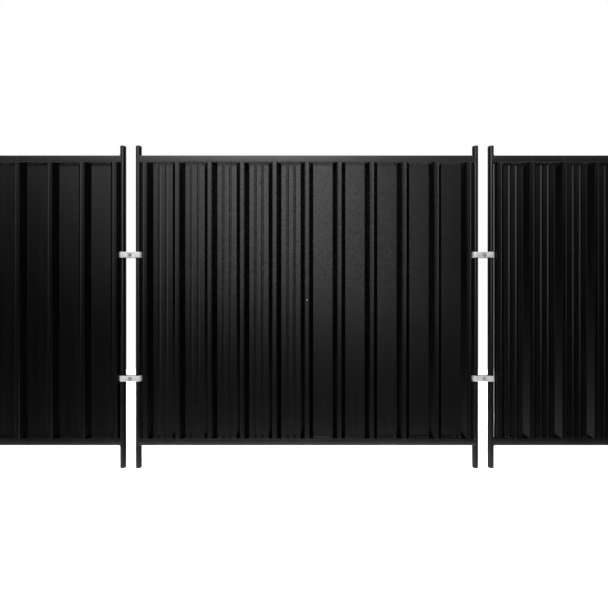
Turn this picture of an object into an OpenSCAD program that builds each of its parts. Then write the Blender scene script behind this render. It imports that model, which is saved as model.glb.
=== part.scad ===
// Steel hoarding fence: a row of framed, ribbed sheet panels joined post to post by two-part clips.
// X runs along the row, the fair face looks along -Y and Z is up.
// The origin is the centre of the foot of the first post.

/* [Panels] */
// Full height of a post, from foot to top
post_h = 1995; // [1500:5:2600]
// Distance between the centre lines of a panel's two posts
post_spacing = 2090; // [2070:1:2110]
// Distance between the centre lines of the two posts that a clip holds together
joint_spacing = 97; // [60:1:160]

/* [Posts] */
// Outside diameter of a post
post_d = 35; // [26:0.5:38]
// Wall of a post
post_wall = 1.5; // [1:0.1:3]
// Free length of post below the bottom rail
foot_stub = 143; // [60:1:300]
// Free length of post above the top rail
head_stub = 62; // [30:1:200]

/* [Post caps] */
// Height of the cap's rim, beyond the end of the tube
cap_rim_h = 15; // [6:0.5:24]
// Length of the cap's plug, inside the tube
cap_plug_l = 18; // [8:1:40]
// Bevel round the outer edge of the cap
cap_bevel = 1.5; // [0.5:0.1:3]
// Bevel of the groove where the cap meets the tube
cap_groove = 0.8; // [0.3:0.1:1.2]

/* [Rails] */
// Height of a rail
rail_h = 40; // [20:1:60]
// Depth of a rail, front to back
rail_d = 34; // [24:1:34]
// Wall of a rail
rail_wall = 1.5; // [1:0.1:3]
// Outside radius of a rail's corners
rail_corner_r = 2; // [2:0.1:5]

/* [Ribbed sheet] */
// Thickness of the sheet metal
sheet_t = 0.5; // [0.4:0.05:1.2]
// Depth of the ribs, over both faces of the sheet
rib_depth = 32; // [20:0.5:36]
// Distance from one rib to the next
rib_pitch = 200; // [180:1:202]
// Width of the flat top of a rib
crest_w = 27; // [16:1:34]
// Width that each sloping side of a rib covers
flank_w = 26; // [14:1:30]
// Inside radius of the bends at the ribs
bend_r = 2.5; // [1.5:0.1:4]
// Length of sheet that folds over the last rib's side at the lap
lap_lip = 9; // [5:0.5:14]
// Gap between the middle panel's sheets and its posts, and at the left panel
edge_gap = 0.4; // [0.2:0.1:2]
// How far the right panel's sheets sit along from their usual place
right_panel_shift = 3; // [0:0.5:6]
// Distance between the two stiffening beads in a pan
bead_spacing = 43; // [34:1:60]
// Width of a stiffening bead
bead_w = 18; // [12:1:24]
// Height of a stiffening bead
bead_h = 2; // [1:0.1:4]

/* [Clips] */
// Height of the upper clips' middle above the foot
upper_clip_z = 1320; // [900:5:1700]
// Height of the lower clips' middle above the foot
lower_clip_z = 555; // [250:5:800]
// Height of a clip plate
clip_h = 35; // [20:1:60]
// Thickness of a clip plate
clip_t = 3; // [2:0.1:5]
// Opening between the lips of the two clip plates
clip_lip_gap = 6; // [2:0.5:12]
// Diameter of the clip's bolt
bolt_d = 10; // [6:1:14]
// Width of the nut and of the bolt's head, across the flats
bolt_af = 16; // [13:1:22]
// Height of the nut and of the bolt's head
bolt_head_h = 7; // [4:0.5:10]
// Length of bolt that shows past the nut
bolt_tail = 9; // [3:0.5:20]
// Diameter of the washers
washer_d = 24; // [18:1:30]
// Thickness of the washers
washer_t = 1.6; // [1:0.1:3]

/* [Hidden] */

// Panels, counted from the left
left_index = 0;
middle_index = 1;
right_index = 2;
// Posts of a panel
first_index = 0;
second_index = 1;
// Sides of a clip
front_sign = -1;
back_sign = 1;

round_fn = 96;
bolt_fn = 48;
hex_fn = 6;
// Overlap that makes a cut run clear through
cut = 1;
// Room left where a rail's end is welded round a post
weld_gap = 0.1;
// Room between a clip plate and the posts that it grips
clip_fit = 0.2;
// Room round the bolt in its holes
bolt_fit = 0.5;
// Room between a cap's plug and the bore of its post
plug_fit = 0.2;
// Wall of the cap's plug and thickness of its end
plug_wall = 2;
cap_end_t = 4;
// Room between the two sheets where they lap
lap_gap = 0.1;

bay_pitch = post_spacing + joint_spacing;
post_r = post_d / 2;
bottom_rail_z = foot_stub;
top_rail_z = post_h - head_stub - rail_h;
sheet_z = bottom_rail_z + rail_h;
sheet_h = top_rail_z - sheet_z;
clip_inner_r = post_r + clip_fit;
clip_outer_r = clip_inner_r + clip_t;

// Ribs: as many pitches as fit between the posts, shared between the two sheets
least_inset = post_r + edge_gap + crest_w / 2;
last_rib = floor((post_spacing - 2 * least_inset) / rib_pitch);
lap_rib = ceil(last_rib / 2);
rib_inset = (post_spacing - last_rib * rib_pitch) / 2;
// Depth of the middle of the sheet metal at a rib's top and in the pans between ribs
crest_y = -(rib_depth - sheet_t) / 2;
pan_y = (rib_depth - sheet_t) / 2;
rib_slope = (pan_y - crest_y) / flank_w;
flank_angle = atan(rib_slope);
mid_bend_r = bend_r + sheet_t / 2;
bead_bend_r = 6;
bend_steps = 5;
bead_steps = 3;
// Shortest flat of sheet that a bend leaves beside a post
least_flat = 2 * mid_bend_r;
// A sheet that laps under another lies this far inside it
nest = sheet_t + lap_gap;
nest_top = nest * tan(flank_angle / 2);
nest_foot = nest / sin(flank_angle);

function post_x(panel, side) = panel * bay_pitch + side * post_spacing;
function rib_x(i, shift) = rib_inset + i * rib_pitch + shift;

// Unit vector from one point to another
function heading(a, b) = (b - a) / norm(b - a);
// A vector turned a quarter to the left
function left_of(v) = [-v.y, v.x];
// The x and y of a corner, which also holds the radius and the steps of its bend
function spot(c) = [c.x, c.y];

// The points of one bend: an arc that touches both straights at corner b
function bend(a, b, c) =
    let (
        d0 = heading(spot(a), spot(b)),
        d1 = heading(spot(b), spot(c)),
        side = sign(d0.x * d1.y - d0.y * d1.x),
        turn = acos(max(-1, min(1, d0 * d1))),
        r = b[2],
        steps = b[3],
        start = spot(b) - d0 * r * tan(turn / 2),
        centre = start + left_of(d0) * r * side
    )
    [for (k = [0 : steps])
        let (t = side * turn * k / steps, s = start - centre)
        centre + [s.x * cos(t) - s.y * sin(t), s.x * sin(t) + s.y * cos(t)]];

// A path of corners with its bends rounded
function rounded(path) =
    let (n = len(path))
    concat(
        [spot(path[0])],
        [for (i = [1 : n - 2]) each bend(path[i - 1], path[i], path[i + 1])],
        [spot(path[n - 1])]
    );

// The line that runs beside a path, half a thickness to its left or right
function beside(path, offset) =
    let (n = len(path))
    [for (i = [0 : n - 1])
        let (
            d0 = heading(path[max(i - 1, 0)], path[max(i, 1)]),
            d1 = heading(path[min(i, n - 2)], path[min(i + 1, n - 1)]),
            m = left_of(d0) + left_of(d1)
        )
        path[i] + m * 2 * offset / (m * m)];

// The outline of bent sheet metal along a path
function sheet_outline(path) =
    let (
        middle = rounded(path),
        one = beside(middle, sheet_t / 2),
        other = beside(middle, -sheet_t / 2),
        n = len(middle)
    )
    concat(one, [for (i = [n - 1 : -1 : 0]) other[i]]);

// The rising and the falling side of a rib, from or to the pan
function rib_rise(x, inside = 0) = [
    [x - crest_w / 2 - flank_w + inside * nest_foot, pan_y, mid_bend_r, bend_steps],
    [x - crest_w / 2 + inside * nest_top, crest_y + inside * nest, mid_bend_r, bend_steps]
];
function rib_fall(x, inside = 0) = [
    [x + crest_w / 2 - inside * nest_top, crest_y + inside * nest, mid_bend_r, bend_steps],
    [x + crest_w / 2 + flank_w - inside * nest_foot, pan_y, mid_bend_r, bend_steps]
];

// One stiffening bead in a pan, standing towards the front
function bead(x) = [
    [x - bead_w / 2, pan_y, bead_bend_r, bead_steps],
    [x, pan_y - bead_h, bead_bend_r, bead_steps],
    [x + bead_w / 2, pan_y, bead_bend_r, bead_steps]
];
function pan_beads(x) = concat(bead(x - bead_spacing / 2), bead(x + bead_spacing / 2));

// Ends of a sheet: beside the post, where the metal stops on a rib's side or in a pan
function first_edge(edge_x, x) =
    let (foot = x - crest_w / 2 - flank_w, stop = max(edge_x, foot))
    concat(
        edge_x < foot - least_flat ? [[edge_x, pan_y, 0, 0]] : [],
        [[stop, pan_y - (stop - foot) * rib_slope, mid_bend_r, bend_steps]],
        [rib_rise(x)[1]]
    );
function last_edge(edge_x, x) =
    let (foot = x + crest_w / 2 + flank_w, stop = min(edge_x, foot))
    concat(
        [rib_fall(x)[0]],
        [[stop, pan_y - (foot - stop) * rib_slope, mid_bend_r, bend_steps]],
        edge_x > foot + least_flat ? [[edge_x, pan_y, 0, 0]] : []
    );
// Ends of a sheet at the lap: a short lip down the shared rib's far side
function lip_point(x, dir, inside) =
    let (drop = lap_lip * sin(flank_angle), run = lap_lip * cos(flank_angle))
    [x + dir * (crest_w / 2 - inside * nest_top + run), crest_y + inside * nest + drop, 0, 0];

// Left sheet: its last rib lies over the right sheet's first one
function left_sheet_path(edge_x, shift) = concat(
    first_edge(edge_x, rib_x(0, shift)),
    [for (i = [0 : lap_rib - 1]) each concat(
        rib_fall(rib_x(i, shift)),
        pan_beads(rib_x(i + 0.5, shift)),
        rib_rise(rib_x(i + 1, shift))
    )],
    [rib_fall(rib_x(lap_rib, shift))[0]],
    [lip_point(rib_x(lap_rib, shift), 1, 0)]
);
// Right sheet: plain pans, and its first rib under the left sheet's last one
function right_sheet_path(edge_x, shift) = concat(
    [lip_point(rib_x(lap_rib, shift), -1, 1)],
    [rib_rise(rib_x(lap_rib, shift), 1)[1]],
    [for (i = [lap_rib : last_rib - 1]) each concat(
        rib_fall(rib_x(i, shift), i == lap_rib ? 1 : 0),
        rib_rise(rib_x(i + 1, shift))
    )],
    last_edge(edge_x, rib_x(last_rib, shift))
);

module rounded_rectangle(w, h, r) {
    square([w - 2 * r, h], center = true);
    square([w, h - 2 * r], center = true);
    for (x = [-1, 1], y = [-1, 1])
        translate([x * (w / 2 - r), y * (h / 2 - r)]) circle(r, $fn = bolt_fn);
}

// Round steel tube, open at both ends, which its caps close
module post(panel, side) {
    color("#15171a")
    translate([post_x(panel, side), 0, cap_rim_h])
    difference() {
        cylinder(r = post_r, h = post_h - 2 * cap_rim_h, $fn = round_fn);
        translate([0, 0, -cut])
        cylinder(r = post_r - post_wall, h = post_h, $fn = round_fn);
    }
}

// Plastic cap for one end of a post: a bevelled rim with a hollow plug
module post_cap() {
    plug_r = post_r - post_wall - plug_fit;
    rotate_extrude($fn = round_fn)
    polygon([
        [0, 0], [post_r - cap_bevel, 0], [post_r, cap_bevel],
        [post_r, cap_rim_h - cap_groove], [post_r - cap_groove, cap_rim_h],
        [plug_r, cap_rim_h], [plug_r, cap_rim_h + cap_plug_l],
        [plug_r - plug_wall, cap_rim_h + cap_plug_l], [plug_r - plug_wall, cap_end_t],
        [0, cap_end_t]
    ]);
}

// The four caps of a panel
module post_caps(panel) {
    color("#101113")
    for (side = [first_index, second_index]) {
        translate([post_x(panel, side), 0, 0]) post_cap();
        translate([post_x(panel, side), 0, post_h]) mirror([0, 0, 1]) post_cap();
    }
}

// Rectangular tube between the posts, with its ends cut to fit round them
module rail(panel, z) {
    color("#15171a")
    translate([post_x(panel, first_index), 0, z])
    difference() {
        translate([0, 0, rail_h / 2])
        rotate([90, 0, 90])
        linear_extrude(height = post_spacing)
        difference() {
            rounded_rectangle(rail_d, rail_h, rail_corner_r);
            rounded_rectangle(rail_d - 2 * rail_wall, rail_h - 2 * rail_wall, rail_corner_r - rail_wall);
        }
        for (x = [0, post_spacing])
            translate([x, 0, -cut])
            cylinder(r = post_r + weld_gap, h = rail_h + 2 * cut, $fn = round_fn);
    }
}

module top_rail(panel) {
    rail(panel, top_rail_z);
}

module bottom_rail(panel) {
    rail(panel, bottom_rail_z);
}

// Ribbed sheet with two stiffening beads in each pan
module left_sheet(panel, shift = 0) {
    color("#1b1d20")
    translate([post_x(panel, first_index), 0, sheet_z])
    linear_extrude(height = sheet_h)
    polygon(sheet_outline(left_sheet_path(post_r + edge_gap + shift, shift)));
}

// Ribbed sheet with plain pans
module right_sheet(panel, shift = 0) {
    color("#1b1d20")
    translate([post_x(panel, first_index), 0, sheet_z])
    linear_extrude(height = sheet_h)
    polygon(sheet_outline(right_sheet_path(post_spacing - post_r - edge_gap, shift)));
}

// Outline of two posts side by side with a straight wall between them
module post_pair(r) {
    for (x = [0, joint_spacing])
        translate([x, 0]) circle(r, $fn = round_fn);
    translate([0, -r]) square([joint_spacing, 2 * r]);
}

// One pressed plate of a clip: a flat web whose ends curl round the two posts
module clip_plate(panel, z, side) {
    color("#b9bdc2")
    translate([post_x(panel, second_index), 0, z])
    difference() {
        translate([0, 0, -clip_h / 2])
        linear_extrude(height = clip_h)
        intersection() {
            difference() {
                post_pair(clip_outer_r);
                post_pair(clip_inner_r);
            }
            translate([-clip_outer_r, side > 0 ? clip_lip_gap / 2 : -clip_outer_r - clip_lip_gap / 2])
            square([joint_spacing + 2 * clip_outer_r, clip_outer_r]);
        }
        translate([joint_spacing / 2, 0, 0])
        rotate([90, 0, 0])
        cylinder(d = bolt_d + 2 * bolt_fit, h = 2 * clip_outer_r + cut, center = true, $fn = bolt_fn);
    }
}

// Bolt through the middle of a clip, with its head at the back and its nut at the front
module clip_bolt(panel, z) {
    washer_y = clip_outer_r + washer_t;
    tail_y = washer_y + bolt_head_h + bolt_tail;
    color("#a3a7ab")
    translate([post_x(panel, second_index) + joint_spacing / 2, 0, z])
    rotate([-90, 0, 0]) {
        translate([0, 0, -tail_y])
        cylinder(d = bolt_d, h = tail_y + washer_y, $fn = bolt_fn);
        translate([0, 0, -washer_y])
        cylinder(d = washer_d, h = washer_t, $fn = bolt_fn);
        translate([0, 0, clip_outer_r])
        cylinder(d = washer_d, h = washer_t, $fn = bolt_fn);
        translate([0, 0, -washer_y - bolt_head_h])
        cylinder(d = bolt_af / cos(180 / hex_fn), h = bolt_head_h, $fn = hex_fn);
        translate([0, 0, washer_y])
        cylinder(d = bolt_af / cos(180 / hex_fn), h = bolt_head_h, $fn = hex_fn);
    }
}

post(left_index, first_index);  // left_panel_left_post
post(left_index, second_index);  // left_panel_right_post
top_rail(left_index);  // left_panel_top_rail
bottom_rail(left_index);  // left_panel_bottom_rail
left_sheet(left_index);  // left_panel_left_sheet
right_sheet(left_index);  // left_panel_right_sheet
post_caps(left_index);  // left_panel_post_caps
post(middle_index, first_index);  // middle_panel_left_post
post(middle_index, second_index);  // middle_panel_right_post
top_rail(middle_index);  // middle_panel_top_rail
bottom_rail(middle_index);  // middle_panel_bottom_rail
left_sheet(middle_index);  // middle_panel_left_sheet
right_sheet(middle_index);  // middle_panel_right_sheet
post_caps(middle_index);  // middle_panel_post_caps
post(right_index, first_index);  // right_panel_left_post
post(right_index, second_index);  // right_panel_right_post
top_rail(right_index);  // right_panel_top_rail
bottom_rail(right_index);  // right_panel_bottom_rail
left_sheet(right_index, right_panel_shift);  // right_panel_left_sheet
right_sheet(right_index, right_panel_shift);  // right_panel_right_sheet
post_caps(right_index);  // right_panel_post_caps
clip_plate(left_index, upper_clip_z, front_sign);  // left_joint_upper_clip_front
clip_plate(left_index, upper_clip_z, back_sign);  // left_joint_upper_clip_back
clip_bolt(left_index, upper_clip_z);  // left_joint_upper_clip_bolt
clip_plate(left_index, lower_clip_z, front_sign);  // left_joint_lower_clip_front
clip_plate(left_index, lower_clip_z, back_sign);  // left_joint_lower_clip_back
clip_bolt(left_index, lower_clip_z);  // left_joint_lower_clip_bolt
clip_plate(middle_index, upper_clip_z, front_sign);  // right_joint_upper_clip_front
clip_plate(middle_index, upper_clip_z, back_sign);  // right_joint_upper_clip_back
clip_bolt(middle_index, upper_clip_z);  // right_joint_upper_clip_bolt
clip_plate(middle_index, lower_clip_z, front_sign);  // right_joint_lower_clip_front
clip_plate(middle_index, lower_clip_z, back_sign);  // right_joint_lower_clip_back
clip_bolt(middle_index, lower_clip_z);  // right_joint_lower_clip_bolt
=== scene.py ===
"""Steel hoarding fence: paint, welds, rivets, clip plates and bolts for a row of ribbed panels."""

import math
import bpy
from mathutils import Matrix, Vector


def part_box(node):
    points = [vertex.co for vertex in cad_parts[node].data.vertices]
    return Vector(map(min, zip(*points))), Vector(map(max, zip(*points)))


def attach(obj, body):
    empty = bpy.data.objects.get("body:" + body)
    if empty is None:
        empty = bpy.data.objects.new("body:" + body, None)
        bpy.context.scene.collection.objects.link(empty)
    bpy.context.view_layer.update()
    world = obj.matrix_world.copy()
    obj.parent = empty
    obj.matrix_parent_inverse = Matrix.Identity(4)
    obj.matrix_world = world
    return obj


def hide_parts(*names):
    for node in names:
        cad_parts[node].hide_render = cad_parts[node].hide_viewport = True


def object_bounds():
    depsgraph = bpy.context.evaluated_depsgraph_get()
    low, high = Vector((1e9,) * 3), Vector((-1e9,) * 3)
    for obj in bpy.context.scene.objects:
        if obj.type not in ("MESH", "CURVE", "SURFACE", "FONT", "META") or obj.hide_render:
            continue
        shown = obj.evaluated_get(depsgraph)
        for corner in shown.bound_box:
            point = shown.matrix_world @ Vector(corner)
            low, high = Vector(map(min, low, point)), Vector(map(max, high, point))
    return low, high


bl_info = {
    "name": "Steel Hoarding Fence",
    "version": (1, 0, 0),
    "blender": (4, 5, 0),
    "location": "3D View > Sidebar > Hoarding",
    "description": "Finishes a row of ribbed hoarding panels with paint, welds, rivets and bolted clips",
    "category": "Object",
}

import bmesh
import bpy
from bpy.props import FloatProperty, FloatVectorProperty, IntProperty, PointerProperty
from mathutils import Vector

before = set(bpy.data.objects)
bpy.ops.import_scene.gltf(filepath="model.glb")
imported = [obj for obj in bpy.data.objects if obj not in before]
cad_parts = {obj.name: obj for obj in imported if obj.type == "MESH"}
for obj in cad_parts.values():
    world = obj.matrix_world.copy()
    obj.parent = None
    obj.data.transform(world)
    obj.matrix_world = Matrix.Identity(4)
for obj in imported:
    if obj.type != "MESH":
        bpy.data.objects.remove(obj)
CAD_LOW, CAD_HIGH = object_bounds()

MM = 0.001
PANELS = ("left_panel", "middle_panel", "right_panel")
JOINTS = ("left_joint_upper", "left_joint_lower", "right_joint_upper", "right_joint_lower")
STEEL_BODY = "root"


# ---------------- settings


class HoardingStageSettings(bpy.types.PropertyGroup):
    """Camera, floor and lights round the fence"""

    camera_side: FloatProperty(
        name="Camera to the side", description="Camera's distance to the right of the row's middle",
        default=-0.0184, unit="LENGTH",
    )
    camera_distance: FloatProperty(
        name="Camera distance", description="Camera's distance in front of the posts' centre lines",
        default=2.309, unit="LENGTH",
    )
    camera_height: FloatProperty(
        name="Camera height", description="Camera's height above the feet", default=1.0157, unit="LENGTH"
    )
    lens: FloatProperty(
        name="Focal length", description="Camera's focal length", default=21.99, unit="CAMERA"
    )
    floor_front: FloatProperty(
        name="Floor in front", description="How far the floor reaches in front of the row",
        default=3.5, unit="LENGTH",
    )
    floor_back: FloatProperty(
        name="Floor behind", description="How far the floor reaches behind the row",
        default=3.5, unit="LENGTH",
    )
    floor_longer: FloatProperty(
        name="Floor beyond the ends", description="How much longer than the row the floor is",
        default=5.0, unit="LENGTH",
    )
    front_light: FloatProperty(
        name="Front light", description="Brightness of the tall soft light in front", default=2.4, min=0.0
    )
    room_light: FloatProperty(
        name="Room light", description="Brightness of the room all round", default=0.006, min=0.0
    )
    overhead_power: FloatProperty(
        name="Overhead power", description="Power of the overhead soft box",
        default=900.0, unit="POWER", min=0.0,
    )
    fill_power: FloatProperty(
        name="Fill power", description="Power of each soft fill light", default=300.0, unit="POWER", min=0.0
    )


class HoardingFinishSettings(bpy.types.PropertyGroup):
    """Colours and gloss of the finishes"""

    coat_colour: FloatVectorProperty(
        name="Powder coat", description="Colour of the coat on posts and rails",
        default=(0.0008, 0.0008, 0.00085), subtype="COLOR", min=0.0, max=1.0,
    )
    rail_roughness: FloatProperty(
        name="Rail roughness", description="Roughness of the coat on the rails",
        default=0.22, subtype="FACTOR",
    )
    post_roughness: FloatProperty(
        name="Post roughness", description="Roughness of the coat on the posts",
        default=0.17, subtype="FACTOR",
    )
    sheet_colour: FloatVectorProperty(
        name="Sheet coat", description="Colour of the coated sheet",
        default=(0.0002, 0.0002, 0.00021), subtype="COLOR", min=0.0, max=1.0,
    )
    sheet_roughness: FloatProperty(
        name="Sheet roughness", description="Roughness of the coated sheet", default=0.16, subtype="FACTOR"
    )
    # Painted light: a lighter strip at the pans' top edge, where the rail's shade falls; its tone also
    # lightens the rails' underside
    ledge_painted_light: FloatProperty(
        name="Painted light under the rail", description="Height of the painted light strip at a pan's top edge",
        default=12.0 * MM, unit="LENGTH",
    )
    painted_light_tone: FloatProperty(
        name="Painted light tone", description="Lightness of the painted light strip",
        default=0.04, min=0.0, max=1.0, subtype="FACTOR",
    )
    plastic_colour: FloatVectorProperty(
        name="Cap plastic", description="Colour of the moulded caps",
        default=(0.006, 0.006, 0.006), subtype="COLOR", min=0.0, max=1.0,
    )
    zinc_colour: FloatVectorProperty(
        name="Zinc", description="Colour of the galvanised clips",
        default=(0.40, 0.403, 0.408), subtype="COLOR", min=0.0, max=1.0,
    )


class HoardingWeldSettings(bpy.types.PropertyGroup):
    """Weld beads between rails and posts"""

    leg: FloatProperty(
        name="Leg", description="How far a bead reaches from its corner", default=4.6 * MM, unit="LENGTH"
    )
    ripple: FloatProperty(
        name="Ripple", description="Height of a bead's ripples", default=0.35 * MM, unit="LENGTH"
    )
    side_leg: FloatProperty(
        name="Side leg", description="Half width of the bead down a rail's front",
        default=2.6 * MM, unit="LENGTH",
    )


class HoardingRivetSettings(bpy.types.PropertyGroup):
    """Rivets at the side laps and fixings along the top rails"""

    lap_height: FloatProperty(
        name="Lap rivet height", description="Height of the lap's rivet above the feet",
        default=1.040, unit="LENGTH",
    )
    lap_head: FloatProperty(
        name="Lap rivet head", description="Diameter of its head", default=9.5 * MM, unit="LENGTH"
    )
    fixing_height: FloatProperty(
        name="Fixing height", description="Height of the rail's fixings above its underside",
        default=15.0 * MM, unit="LENGTH",
    )
    fixing_head: FloatProperty(
        name="Fixing head", description="Diameter of a fixing's head", default=7.5 * MM, unit="LENGTH"
    )
    rib_start: FloatProperty(
        name="First rib", description="Distance from a panel's left post to its first rib",
        default=45.0 * MM, unit="LENGTH",
    )
    rib_pitch: FloatProperty(
        name="Rib pitch", description="Distance from rib to rib", default=200.0 * MM, unit="LENGTH"
    )
    right_shift: FloatProperty(
        name="Right panel's shift", description="How far the right panel's ribs sit along",
        default=3.0 * MM, unit="LENGTH",
    )
    rib_count: IntProperty(name="Ribs", description="Number of ribs in a panel", default=11, min=1)
    crest_face: FloatProperty(
        name="Crest face", description="Distance of a rib's face from the posts' centre lines",
        default=16.0 * MM, unit="LENGTH",
    )


class HoardingClipSettings(bpy.types.PropertyGroup):
    """Clip plates and their bolts"""

    edge_round: FloatProperty(
        name="Edge round", description="Rounding of a plate's edges", default=0.9 * MM, unit="LENGTH"
    )
    flats: FloatProperty(
        name="Across flats", description="Width of nut and head across the flats",
        default=16.0 * MM, unit="LENGTH",
    )
    hex_height: FloatProperty(
        name="Hexagon height", description="Height of nut and head", default=7.0 * MM, unit="LENGTH"
    )
    washer: FloatProperty(
        name="Washer", description="Diameter of the washers", default=24.0 * MM, unit="LENGTH"
    )
    washer_thickness: FloatProperty(
        name="Washer thickness", description="Thickness of the washers", default=1.6 * MM, unit="LENGTH"
    )
    shank: FloatProperty(
        name="Shank", description="Outside diameter of the thread", default=10.0 * MM, unit="LENGTH"
    )
    pitch: FloatProperty(
        name="Pitch", description="Distance between the thread's turns", default=1.5 * MM, unit="LENGTH"
    )


# ---------------- node helpers


def add_node(tree, kind, inputs=None, **settings):
    """Adds a node, sets its settings and fills its sockets with values or links."""
    node = tree.nodes.new(kind)
    for key, value in settings.items():
        setattr(node, key, value)
    for socket, value in (inputs or {}).items():
        if isinstance(value, bpy.types.NodeSocket):
            tree.links.new(value, node.inputs[socket])
        else:
            node.inputs[socket].default_value = value
    return node


def reckon(tree, operation, *values):
    """Adds a Math node and returns its result."""
    return add_node(tree, "ShaderNodeMath", dict(enumerate(values)), operation=operation).outputs[0]


def chained(tree, operation, values):
    """Joins values with one operation, from the first on."""
    result = values[0]
    for value in values[1:]:
        result = reckon(tree, operation, result, value)
    return result


def times(tree, *values):
    """Product of values."""
    return chained(tree, "MULTIPLY", values)


def plus(tree, *values):
    """Sum of values."""
    return chained(tree, "ADD", values)


def minus(tree, first, second):
    """First value less the second."""
    return reckon(tree, "SUBTRACT", first, second)


def over(tree, first, second):
    """First value divided by the second."""
    return reckon(tree, "DIVIDE", first, second)


def spread(tree, value, low, high, to_low, to_high, smooth=False):
    """Adds a Map Range node and returns its result."""
    inputs = {"Value": value, "From Min": low, "From Max": high, "To Min": to_low, "To Max": to_high}
    kind = "SMOOTHSTEP" if smooth else "LINEAR"
    return add_node(tree, "ShaderNodeMapRange", inputs, interpolation_type=kind).outputs["Result"]


def ramp(tree, value, none, full):
    """Smooth mask that is 0 at one value and 1 at another."""
    return spread(tree, value, none, full, 0.0, 1.0, True)


def room_corner(tree, turn, rise, window):
    """Mask of one corner of the room, by turn and by rise."""
    return times(tree, ramp(tree, turn, *window[0]), ramp(tree, rise, *window[1]))


def hill(tree, value, centre, width):
    """Bell curve of height 1."""
    off = over(tree, minus(tree, value, centre), width)
    return reckon(tree, "EXPONENT", times(tree, off, off, -1.0))


def above(tree, level, value, edge, softness):
    """A level that fades in as a value passes an edge."""
    falling = reckon(tree, "EXPONENT", over(tree, minus(tree, edge, value), softness))
    return over(tree, level, plus(tree, falling, 1.0))


def dimmed(tree, mask, amount):
    """Factor that takes an amount away where a mask is 1."""
    return spread(tree, mask, 0.0, 1.0, 1.0, 1.0 - amount)


def noise(tree, place, scale, detail=2.0, roughness=0.5):
    """Adds a Noise texture on a place and returns its factor."""
    inputs = {"Vector": place, "Scale": scale, "Detail": detail, "Roughness": roughness}
    return add_node(tree, "ShaderNodeTexNoise", inputs).outputs["Fac"]


def rgba(colour, gain=1.0):
    """A colour with its alpha, made lighter or darker by a gain."""
    return tuple(channel * gain for channel in colour) + (1.0,)


def blended(tree, factor, first, second):
    """Mixes two colours."""
    return add_node(tree, "ShaderNodeMix", {0: factor, 6: first, 7: second}, data_type="RGBA").outputs[2]


def tinted(tree, factor, colour, dark, light):
    """Mixes a darker and a lighter shade of one colour."""
    return blended(tree, factor, rgba(colour, dark), rgba(colour, light))


def raised(tree, height, distance, normal=None):
    """Adds a Bump node of a real height in metres and returns its normal."""
    inputs = {"Height": height, "Distance": distance, "Strength": 1.0}
    if normal is not None:
        inputs["Normal"] = normal
    return add_node(tree, "ShaderNodeBump", inputs).outputs["Normal"]


def split(tree, vector):
    """The X, Y and Z of a vector."""
    return add_node(tree, "ShaderNodeSeparateXYZ", {"Vector": vector}).outputs


def new_finish():
    """Starts a node material and returns it with its tree, shader and Object coordinates."""
    material = bpy.data.materials.new("finish")
    material.use_nodes = True
    tree = material.node_tree
    tree.nodes.clear()
    shader = add_node(tree, "ShaderNodeBsdfPrincipled")
    add_node(tree, "ShaderNodeOutputMaterial", {"Surface": shader.outputs["BSDF"]})
    place = add_node(tree, "ShaderNodeTexCoord").outputs["Object"]
    return material, tree, shader, place


def wire(tree, shader, colour, rough, normal):
    """Links colour, roughness and normal to a finish's shader."""
    for socket, source in (("Base Color", colour), ("Roughness", rough), ("Normal", normal)):
        tree.links.new(source, shader.inputs[socket])


# ---------------- finishes

# In the tables below, a range gives two values and the result at each, a grain is a noise's
# scale, detail and roughness, and tones are how dark and how light a colour gets.

# How squarely a face looks along an axis before a mask takes it in: none of it and all of it
FACING = (0.9, 0.97)

# Coat of posts and rails
COAT_PEEL = (420.0, 2.0)
COAT_PEEL_HEIGHT = 0.012 * MM
COAT_DRIFT = (9.0, 3.0)
COAT_TONES = (0.75, 1.3)
COAT_DRIFT_ENDS = (0.3, 0.7)
COAT_ROUGHER = (-0.03, 0.04)
COAT_DUST_GRAIN = (260.0, 4.0, 0.7)
COAT_DUST = (0.66, 0.8, 0.0, 0.35)
COAT_DUST_COLOUR = (0.012, 0.0115, 0.011, 1.0)
COAT_SPECULAR = 0.66
RAIL_CROWN = -1.5
# Painted light on the rails' underside: how its lighter tone fades away from the row's middle
UNDERSIDE_FADE = (0.4, 1.8, 1.0, 0.12)

# Patterns of the coated sheet: scale along X, Y and Z, detail and roughness
SHEET_PATTERNS = {
    "wave": ((5.0, 5.0, 2.6), 2.0, 0.5),
    "dent": ((16.0, 16.0, 9.0), 1.0, 0.5),
    "rub": ((30.0, 30.0, 3.0), 4.0, 0.5),
    "rolled": ((380.0, 380.0, 0.7), 1.0, 0.5),
    "patch": ((2.6, 2.6, 1.7), 2.0, 0.5),
    "bloom": ((45.0, 45.0, 120.0), 3.0, 0.65),
    "mottle": ((95.0, 95.0, 38.0), 3.0, 0.6),
    "matt": ((60.0, 60.0, 95.0), 2.0, 0.6),
}
# Its grains, alike in every direction
SHEET_GRAIN = {
    "peel": (500.0, 1.0, 0.5),
    "speck": (210.0, 3.0, 0.65),
    "pits": (330.0, 2.0, 0.6),
}
# Ranges that turn some of them into marks
SHEET_MARKS = {
    "speck": (0.7, 0.78, 0.0, 1.0),
    "rub": (0.45, 0.75, 0.0, 1.0),
    "patch": (0.42, 0.6, 0.25, 1.0),
    "bloom": (0.46, 0.62, 0.0, 1.0),
    "matt": (0.62, 0.7, 0.0, 0.55),
    "pits": (0.62, 0.76, 0.0, 1.0),
}
SHEET_TONES = (0.8, 4.0)
SPECK_COLOUR = (0.03, 0.0295, 0.028, 1.0)
SPECK_COVER = 0.6
SPECK_ROUGHNESS = 0.45
BLOOM_COLOUR = (0.0055, 0.0055, 0.0052, 1.0)
MOTTLE_ROUGHNESS = (0.42, 0.66, -0.02, 0.13)
ROLLED_ENDS = (0.35, 0.65)
ROLLED_ROUGHNESS = 0.03
# Where the sheet is worn: away from the row's middle, and with height
WORN_ASIDE = (0.3, 1.1, 1.0, 0.08)
WORN_UP = (0.8, 1.3, 0.1, 1.0)
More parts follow.
